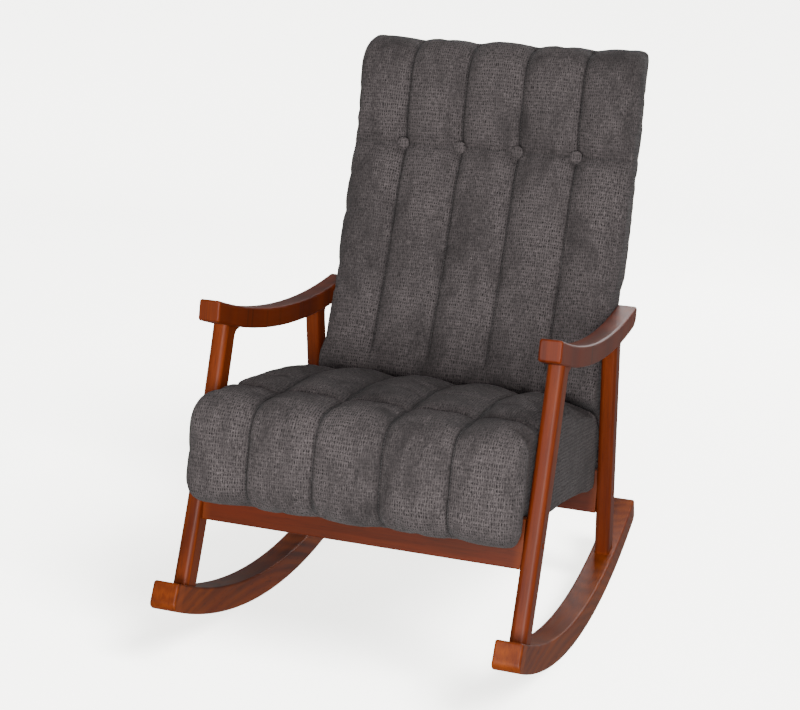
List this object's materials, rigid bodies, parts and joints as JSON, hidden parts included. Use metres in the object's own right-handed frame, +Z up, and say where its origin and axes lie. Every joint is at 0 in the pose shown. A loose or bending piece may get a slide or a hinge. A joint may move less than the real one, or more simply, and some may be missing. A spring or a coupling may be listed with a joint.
{
  "type": "rocking chair",
  "caption": "Upholstered rocking chair with a channelled, buttoned high back, a sprung seat and open wooden side frames on curved rockers.",
  "frame": {"origin": "centre of the bounding box at floor level, with the chair at rest on its rockers", "axes": "+Z up, +Y towards the chair's back, +X towards the sitter's left"},
  "size_m": [0.628, 0.9149, 0.9964],
  "materials": {
    "lacquered_wood": "satin lacquer over red-brown stain",
    "frame_beech": "bare sanded",
    "upholstery_fabric": "dark grey woven chenille",
    "foam": "open-cell foam",
    "wadding": "polyester fibre",
    "dust_cloth": "thin non-woven cloth",
    "steel": "zinc plated",
    "webbing": "elastic woven strap",
    "twine": "waxed"
  },
  "bodies": {
    "root": {"left_rocker": "lacquered_wood", "right_rocker": "lacquered_wood", "left_front_leg": "lacquered_wood", "right_front_leg": "lacquered_wood", "left_rear_leg": "lacquered_wood", "right_rear_leg": "lacquered_wood", "left_arm": "lacquered_wood", "right_arm": "lacquered_wood", "front_rail": "lacquered_wood", "rear_rail": "lacquered_wood", "leg_dowels": "frame_beech", "rail_dowels": "frame_beech", "rail_bolts": "steel", "barrel_nuts": "steel", "arm_bolts": "steel", "arm_insert_nuts": "steel", "back_bolts": "steel", "back_insert_nuts": "steel", "seat_front_board": "frame_beech", "seat_rear_board": "frame_beech", "seat_left_board": "frame_beech", "seat_right_board": "frame_beech", "seat_board_dowels": "frame_beech", "seat_corner_blocks": "frame_beech", "seat_springs": "steel", "seat_spring_clips": "steel", "seat_foam": "foam", "seat_wadding": "wadding", "seat_cover": "upholstery_fabric", "seat_dust_cover": "dust_cloth", "seat_screws": "steel", "back_left_stile": "frame_beech", "back_right_stile": "frame_beech", "back_top_rail": "frame_beech", "back_middle_rail": "frame_beech", "back_waist_rail": "frame_beech", "back_bottom_rail": "frame_beech", "back_frame_dowels": "frame_beech", "back_webbing": "webbing", "back_foam": "foam", "back_wadding": "wadding", "back_cover": "upholstery_fabric", "back_buttons": "upholstery_fabric", "button_twine": "twine"}
  },
  "joints": []
}
